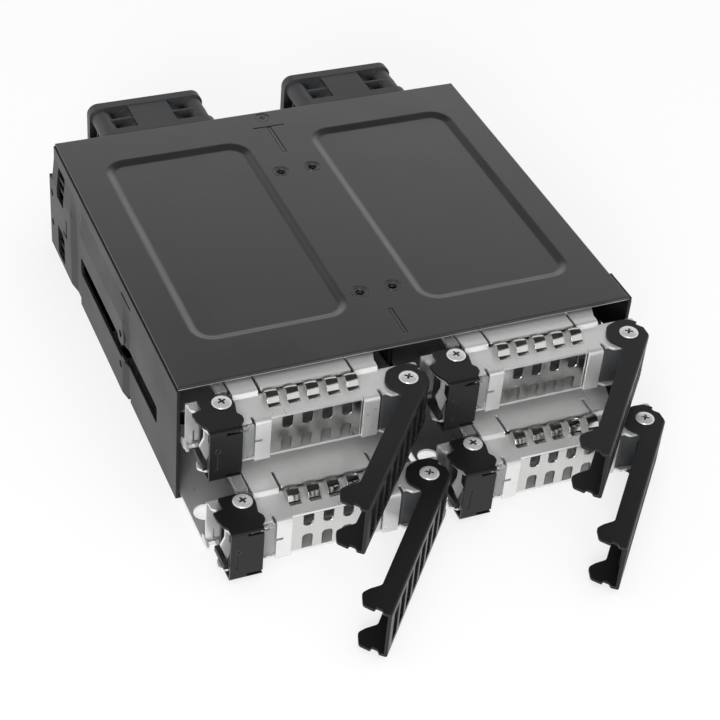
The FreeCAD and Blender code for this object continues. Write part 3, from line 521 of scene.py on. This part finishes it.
def turned(drawn, centre, profile, steps=32, axis="Z"):
    """Round part: a profile of (radius, height) points is spun once about its axis."""
    line = [drawn.verts.new((radius, 0, height)) for radius, height in profile]
    edges = [drawn.edges.new(pair) for pair in zip(line, line[1:])]
    before = set(drawn.verts) - set(line)
    bmesh.ops.spin(drawn, geom=line + edges, cent=(0, 0, 0), axis=(0, 0, 1), angle=math.tau,
                   steps=steps, use_merge=True)
    made = [vert for vert in drawn.verts if vert not in before]
    bmesh.ops.remove_doubles(drawn, verts=made, dist=0.0001)
    made = [vert for vert in drawn.verts if vert not in before]
    if axis == "Y":
        bmesh.ops.rotate(drawn, verts=made, cent=(0, 0, 0), matrix=Matrix.Rotation(-math.pi / 2, 3, "X"))
    bmesh.ops.translate(drawn, verts=made, vec=centre)
    bmesh.ops.recalc_face_normals(drawn, faces=list({f for vert in made for f in vert.link_faces}))
    return made


# %% [markdown]
# ## Screws
# Latch and lever each turn on a pan-head screw. The real head is cold-formed, so its rim is round, and
# the cross is punched in with sloping walls. The head is a profile spun about its axis, and the cross is
# cut by a Boolean with a tapered cutter. The cutter brings its own dark finish, which is painted shade:
# it darkens the walls of the cross where such a recess holds little light.

# %% Cutter for the cross
# Painted shade: the near-black colour of this finish stands in for the shade inside the cross of a screw.
recess_painted_shade = coated("screw_recess_painted_shade", (0.03, 0.03, 0.03), (0.2, 0.2, 0.2), 0.5, 2500, 0.00001)
arm_reach, arm_half = 1.45, 0.38
recess_taper = 0.62


def cross_cutter(top, depth):
    """Two crossing bars, narrower at the bottom than at the top."""
    drawn = bmesh.new()
    for across, along in ((arm_reach, arm_half), (arm_half, arm_reach)):
        made = bar(drawn, (-across, -along, top - depth), (across, along, top + 0.5))
        low = [vert for vert in made if vert.co.z < top]
        bmesh.ops.scale(drawn, verts=low, vec=(recess_taper, recess_taper, 1.0))
    return drawn


# %% Boolean of two drawings
def combined(blank, tool, finishes, operation="DIFFERENCE"):
    """Boolean of two drawings. The mesh that comes back keeps the finishes of both."""
    solids = []
    for drawn, finish in zip((blank, tool), finishes):
        mesh = bpy.data.meshes.new("blank")
        drawn.to_mesh(mesh)
        mesh.materials.append(finish)
        solid = bpy.data.objects.new("blank", mesh)
        bpy.context.scene.collection.objects.link(solid)
        solids.append(solid)
    joint = solids[0].modifiers.new("joint", "BOOLEAN")
    joint.object = solids[1]
    joint.operation = operation
    joint.solver = "EXACT"
    joint.use_self = True
    joint.material_mode = "TRANSFER"
    bpy.context.view_layer.update()
    finished = solids[0].evaluated_get(bpy.context.evaluated_depsgraph_get())
    result = bpy.data.meshes.new_from_object(finished)
    for solid in solids:
        bpy.data.objects.remove(solid)
    return result


# %% Screw head with its cross
head_high, head_r = 0.62, 2.9
shank_r, shank_end = 1.45, -4.8
head_profile = [
    (0, head_high), (1.2, head_high), (2.2, 0.56), (2.68, 0.42), (2.87, 0.2), (head_r, 0.02), (2.86, 0),
    (shank_r, 0), (shank_r, shank_end + 0.2), (shank_r - 0.25, shank_end), (0, shank_end)]
head_blank = bmesh.new()
turned(head_blank, (0, 0, 0), head_profile, steps=40)
screw_mesh = combined(head_blank, cross_cutter(head_high, depth=0.95), (screw_plate, recess_painted_shade))
print("screw faces:", len(screw_mesh.polygons))

# %% Screws and pins of a tray
under_head, under_pin = 0.04, 0.1
screws = bmesh.new()
for piece, (u, v), turn_by, pin_length in (("latch", latch_spot, 20, 6.0), ("lever", lever_spot, 55, 5.0)):
    foot, top = foot_and_top(piece)
    before = set(screws.verts)
    screws.from_mesh(screw_mesh)
    made = [vert for vert in screws.verts if vert not in before]
    bmesh.ops.rotate(screws, verts=made, cent=(0, 0, 0),
                     matrix=Matrix.Rotation(math.radians(turn_by), 3, "Z"))
    bmesh.ops.translate(screws, verts=made, vec=(u, v, top + under_head))
    low = foot + under_pin
    high = low + pin_length
    pin = [
        (0, high), (shank_r - 0.2, high), (shank_r, high - 0.2),
        (shank_r, low + 0.2), (shank_r - 0.2, low), (0, low)]
    turned(screws, (u, v, 0), pin)
collar_r, collar_low, collar_high = 1.85, 16.45, 17.41
collar = [
    (0, collar_high), (collar_r - 0.25, collar_high), (collar_r, collar_high - 0.16),
    (collar_r, collar_low + 0.15), (collar_r - 0.25, collar_low), (0, collar_low)]
turned(screws, (*latch_spot, 0), collar)
for tray in trays:
    screw_set = piece_from("screws_" + tray, screws, tray_place[tray], "tray_" + tray,
                           (screw_plate, recess_painted_shade))
    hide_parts("tray_screws_" + tray)
print("screw sets:", len(trays))

# %% [markdown]
# ## Pressed top cover
# The two long panels in the cover are pressed with a rubber-backed tool, so their shoulders are soft
# curves and not sharp slopes. The tool is a rounded rectangle whose face is inset in small steps, each a
# little deeper, by an S-shaped rule. One copy of it, one sheet lower, is joined on as the back of the
# panel, and another then sinks the panel. Slots and holes are cut together with it.


# %% Press tool
def press_tool(low, high, top, depth, shoulder, corner, steps=9):
    """Solid with a rounded outline from 1 mm above top, a soft shoulder and a flat face depth below it."""
    drawn = bmesh.new()
    outline = bmesh.ops.create_grid(drawn, x_segments=1, y_segments=1, size=0.5)["verts"]
    bmesh.ops.scale(drawn, verts=outline, vec=(high[0] - low[0], high[1] - low[1], 1))
    middle = ((low[0] + high[0]) / 2, (low[1] + high[1]) / 2, top + 1)
    bmesh.ops.translate(drawn, verts=outline, vec=middle)
    bmesh.ops.bevel(drawn, geom=list(drawn.verts), offset=corner, segments=9, profile=0.5,
                    affect="VERTICES", material=-1)
    bmesh.ops.reverse_faces(drawn, faces=drawn.faces)
    made = bmesh.ops.extrude_face_region(drawn, geom=list(drawn.faces))["geom"]
    rim = [part for part in made if isinstance(part, bmesh.types.BMVert)]
    bmesh.ops.translate(drawn, verts=rim, vec=(0, 0, -1))
    face = next(part for part in made if isinstance(part, bmesh.types.BMFace))
    sunk = 0.0
    for step in range(1, steps + 1):
        now = depth * (1 - math.cos(math.pi * step / steps)) / 2
        bmesh.ops.inset_region(drawn, faces=[face], thickness=shoulder / steps, depth=now - sunk,
                               use_even_offset=True)
        sunk = now
    bmesh.ops.recalc_face_normals(drawn, faces=drawn.faces)
    return drawn


# %% Cover sheet
cage_low, cage_high = solid_box("chassis")
cover_low, cover_high = solid_box("top_cover")
cage_front = cage_low[1]
cage_place = Matrix.Translation((0, cage_front, 0))
sheet_low, sheet_top = cage_high[2], cover_high[2]
sheet_half = cover_high[0] - 0.5
sheet = bmesh.new()
sheet_front, sheet_back = cover_low[1] - cage_front, cover_high[1] - cage_front
bar(sheet, (-sheet_half, sheet_front, sheet_low), (sheet_half, sheet_back, sheet_top))
top_rims = [e for e in sheet.edges if min(v.co.z for v in e.verts) > sheet_low + 0.5]
bmesh.ops.bevel(sheet, geom=top_rims, offset=0.35, segments=3, profile=0.5, affect="EDGES", material=-1)
print("sheet from", sheet_low, "to", sheet_top)

# %% Panels, measured from the front of the cage
panels = {"left": ((-60.8, 18.0), (-11.2, 115.6)), "right": ((10.1, 16.8), (61.8, 115.8))}
panel_depth, panel_shoulder, panel_corner = 0.9, 3.1, 7.5
backs = bmesh.new()
sinks = bmesh.new()
for low, high in panels.values():
    for target, level in ((backs, sheet_low), (sinks, sheet_top)):
        form = press_tool(low, high, level, panel_depth, panel_shoulder, panel_corner)
        shape = bpy.data.meshes.new("form")
        form.to_mesh(shape)
        target.from_mesh(shape)
# The upper end of a back stays inside the sheet that it is joined to
for vert in backs.verts:
    if vert.co.z > sheet_low + 0.6:
        vert.co.z = sheet_low + 0.4
print("panels:", list(panels))

# %% Slots and holes
cut_low, cut_top = sheet_top - 2.3, sheet_top + 0.7
long_slots, slot_left, slot_right = ((4.95, 17.05), (105.35, 121.25)), -1.45, 0.15
cross_slot = ((-6.2, 121.2), (4.9, 121.8))
bush_spots = ((-6.1, 94.7), (4.8, 94.7), (-6.1, 27.1), (4.5, 27.1))
rear_spot = (-0.8, 127.4)
for near, far in long_slots:
    bar(sinks, (slot_left, near, cut_low), (slot_right, far, cut_top))
bar(sinks, (*cross_slot[0], cut_low), (*cross_slot[1], cut_top))
bush_hole = [(0, cut_top), (3.0, cut_top), (2.95, sheet_top), (2.7, sheet_top - 0.25), (2.7, cut_low),
             (0, cut_low)]
for spot in bush_spots:
    turned(sinks, (*spot, 0), bush_hole)
rear_hole = [(0, cut_top), (2.6, cut_top), (2.6, sheet_top), (1.6, sheet_low), (1.6, cut_low), (0, cut_low)]
turned(sinks, (*rear_spot, 0), rear_hole)
print("slots and holes:", len(long_slots) + len(bush_spots) + 2)

# %% Join the sheet and its backs, then cut
raised = bmesh.new()
raised.from_mesh(combined(sheet, backs, (cover_coat, cover_coat), "UNION"))
cover_drawn = bmesh.new()
cover_drawn.from_mesh(combined(raised, sinks, (cover_coat, cover_coat)))
for face in cover_drawn.faces:
    face.material_index = 0
cover = piece_from("pressed_cover", cover_drawn, cage_place, "cage", (cover_coat,), smooth=1)
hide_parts("top_cover")
print("cover faces:", len(cover_drawn.faces))

# %% [markdown]
# ## Painted highlight on the front edge of the cover
# A thin bright line runs along the foot of the cover's front edge, where its lower rim catches the light.
# A slim bar of pale steel with broken edges stands there, a little proud of the coat, and paints that
# highlight in.

# %% Painted highlight along the front edge
# Painted highlight: this pale steel stands in for the light caught along the lower rim of the cover's front
# edge.
edge_highlight_plate = plated("painted_edge_highlight", (0.42, 0.42, 0.41), 0.4, (0.1, 1.0, 1.0), radius=0.03)
line_high, line_proud, line_sunk = 0.22, 0.08, 0.06
painted_edge_highlight = bmesh.new()
bar(painted_edge_highlight, (-sheet_half, sheet_front - line_proud, sheet_low),
    (sheet_half, sheet_front + line_sunk, sheet_low + line_high), 0.03)
piece_from("cover_cut_edge", painted_edge_highlight, cage_place, "cage", (edge_highlight_plate,))
print("cut edge is", 2 * sheet_half, "mm long")

# %% [markdown]
# ## Grounding springs
# Five fingers of thin spring steel press against the cage when a tray is home. The real strip is stamped
# and rolled over a former, so its section is made of runs and arcs. It is drawn the same way: an edge
# across the finger is extruded for each run and spun for each bend, and the sheet is thickened at the
# end. A finger is also crowned a little across, which keeps its highlight narrow.


# %% Strip former
def press(drawn, left, right, start, moves, crown=0.0):
    """Form a strip forward from start. A move is ("run", length, 0) or ("bend", degrees up, radius)."""
    heading = 0.0
    middle, half = (left + right) / 2, (right - left) / 2
    across = []
    for step in range(-2, 3):
        rise = crown * (1 - (step / 2) ** 2)
        across.append(drawn.verts.new((middle + half * step / 2, start[0], start[1] + rise)))
    rim = across + [drawn.edges.new(pair) for pair in zip(across, across[1:])]
    for kind, amount, radius in moves:
        if kind == "run":
            made = bmesh.ops.extrude_edge_only(drawn, edges=rim[len(across):])["geom"]
            tips = [part for part in made if isinstance(part, bmesh.types.BMVert)]
            ahead = Vector((0, -math.cos(heading), math.sin(heading)))
            bmesh.ops.translate(drawn, verts=tips, vec=ahead * amount)
        else:
            side = math.copysign(radius, amount)
            centre = rim[0].co + Vector((0, math.sin(heading), math.cos(heading))) * side
            made = bmesh.ops.spin(drawn, geom=rim, cent=centre, axis=(1, 0, 0), angle=-math.radians(amount),
                                  steps=max(4, int(abs(amount) / 12)))["geom_last"]
            tips = [part for part in made if isinstance(part, bmesh.types.BMVert)]
            heading += math.radians(amount)
        rim = tips + list({e for tip in tips for e in tip.link_edges if e.other_vert(tip) in tips})


# %% Spring strips
strip_left, strip_right = 22.2, 49.0
finger_count, finger_pitch, finger_half = 5, 6.0, 1.8
finger_middle = 35.8
root_v, seat_w = 12.5, 16.58
spring_sheet = 0.22
finger_moves = [("run", 1.1, 0), ("bend", 68, 0.5), ("run", 0.9, 0), ("bend", -128, 2.15), ("run", 1.23, 0),
                ("bend", 60, 0.7), ("run", 0.8, 0)]
springs = bmesh.new()
press(springs, strip_left, strip_right, (root_v, seat_w), [("run", 0.8, 0)])
for k in range(finger_count):
    u = finger_middle + (k - (finger_count - 1) / 2) * finger_pitch
    press(springs, u - finger_half, u + finger_half, (root_v, seat_w + 0.01), finger_moves, crown=0.12)
bmesh.ops.recalc_face_normals(springs, faces=springs.faces)
bmesh.ops.solidify(springs, geom=springs.faces, thickness=spring_sheet)
for tray in trays:
    strip = piece_from("spring_strip_" + tray, springs, tray_place[tray], "tray_" + tray, (spring_plate,),
                       smooth=40)
    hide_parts("spring_fingers_" + tray)
print("faces in a strip:", len(springs.faces))

# %% [markdown]
# ## Louvres of the levers
# Air for the drives passes through the lever's windows. Behind them sits a moulded insert with thin slats
# that run along the lever and lean a little, so that one sees dark lines and not into the tray. Near the
# lever's end the slats are thin, because the closed lever lies over the latch's front plate there.

# %% Louvre inserts, drawn along the lever from its axis
lever_end = -56.5
slat_start, slat_end = lever_end + 6.7, -1.6
slat_front, slat_back, thin_back = -4.96, -4.2, -4.76
slat_count, slat_pitch, slat_low, slat_thick, slat_lean = 7, 1.6, 3.75, 0.45, 24
post_wide, post_low, post_high = 0.7, 3.3, 14.6
louvre = bmesh.new()
for k in range(slat_count):
    low = slat_low + k * slat_pitch
    made = bar(louvre, (slat_start, slat_front, low), (slat_end, slat_back, low + slat_thick), 0.08)
    bmesh.ops.rotate(louvre, verts=made, cent=(0, -4.6, low + 0.22),
                     matrix=Matrix.Rotation(math.radians(slat_lean), 3, "X"))
    bar(louvre, (lever_end + 2.2, slat_front, low), (slat_start + 0.2, thin_back, low + 0.42), 0.05)
for post, back in ((lever_end + 1.9, thin_back + 0.02), (slat_end - 0.3, -4.3)):
    bar(louvre, (post, slat_front, post_low), (post + post_wide, back, post_high), 0.08)
for tray in trays:
    piece_from("louvre_" + tray, louvre, lever_place[tray], "lever_" + tray, (lever_coat,))
print("faces in an insert:", len(louvre.faces))

# %% [markdown]
# ## Rims of the latches' tool holes
# A small blind hole lies at the top of the long mark in a latch's plate, where a pin or a pen tip can
# press. Punching leaves a low rounded rim about it, which catches the light. It is a closed profile spun
# once.

# %% Tool hole rims
rim_inner, rim_outer, rim_foot = 0.74, 0.98, -0.02
rim_profile = [(rim_inner, rim_foot), (rim_inner, 0.04), (0.8, 0.08), (0.9, 0.06), (rim_outer, rim_foot),
               (rim_inner, rim_foot)]
tool_hole = (4.6, -2.85, 11.35)
hole_rim = bmesh.new()
turned(hole_rim, (0, 0, 0), rim_profile, steps=28, axis="Y")
bmesh.ops.rotate(hole_rim, verts=hole_rim.verts, cent=(0, 0, 0), matrix=Matrix.Rotation(math.pi, 3, "Z"))
for tray in trays:
    hole_place = tray_place[tray] @ Matrix.Translation(tool_hole)
    piece_from("tool_hole_rim_" + tray, hole_rim, hole_place, "latch_" + tray, (cover_coat,))
print("faces in a rim:", len(hole_rim.faces))

# %% [markdown]
# ## Contacts
# Seen from behind, the plugs show rows of gold contacts on their tongues, and the power sockets show four
# tinned pins. Real contacts are stamped strips that stand a little proud of the plastic, so each is a
# small bar with broken edges. The pins are turned, with round ends.

# %% Contacts of the data plugs
tongue_x, tongue_heights = 8.2, (11.45, 29.85)
contact_count, contact_pitch, contact_wide = 7, 0.95, 0.5
lowest_contact = -3.5
contact_left, contact_right = -0.72, -0.56
contact_front, contact_back = 127.0, 132.7
contacts = bmesh.new()
for x in (-tongue_x, tongue_x):
    for z in tongue_heights:
        for k in range(contact_count):
            low = z + lowest_contact + k * contact_pitch
            bar(contacts, (x + contact_left, contact_front, low),
                (x + contact_right, contact_back, low + contact_wide), 0.04)
piece_from("data_contacts", contacts, cage_place, "cage", (contact_gold,))
print("faces of contacts:", len(contacts.faces))

# %% Pins of the power sockets
socket_x, pin_root = 64.0, 126.6
pin_count, pin_pitch, lowest_pin = 4, 5.08, 11.65
pin_r, pin_length = 1.04, 7.6
pin = [(0, 0), (pin_r, 0), (pin_r, 6.6), (0.8, 7.3), (0.35, 7.55), (0, pin_length)]
pins = bmesh.new()
for x in (-socket_x, socket_x):
    for k in range(pin_count):
        turned(pins, (x, pin_root, lowest_pin + k * pin_pitch), pin, steps=20, axis="Y")
piece_from("power_pins", pins, cage_place, "cage", (screw_plate,))
print("faces of pins:", len(pins.faces))

# %% [markdown]
# ## Finish
# The last cell prints that the scene is dressed.

# %% End
print("scene dressed")
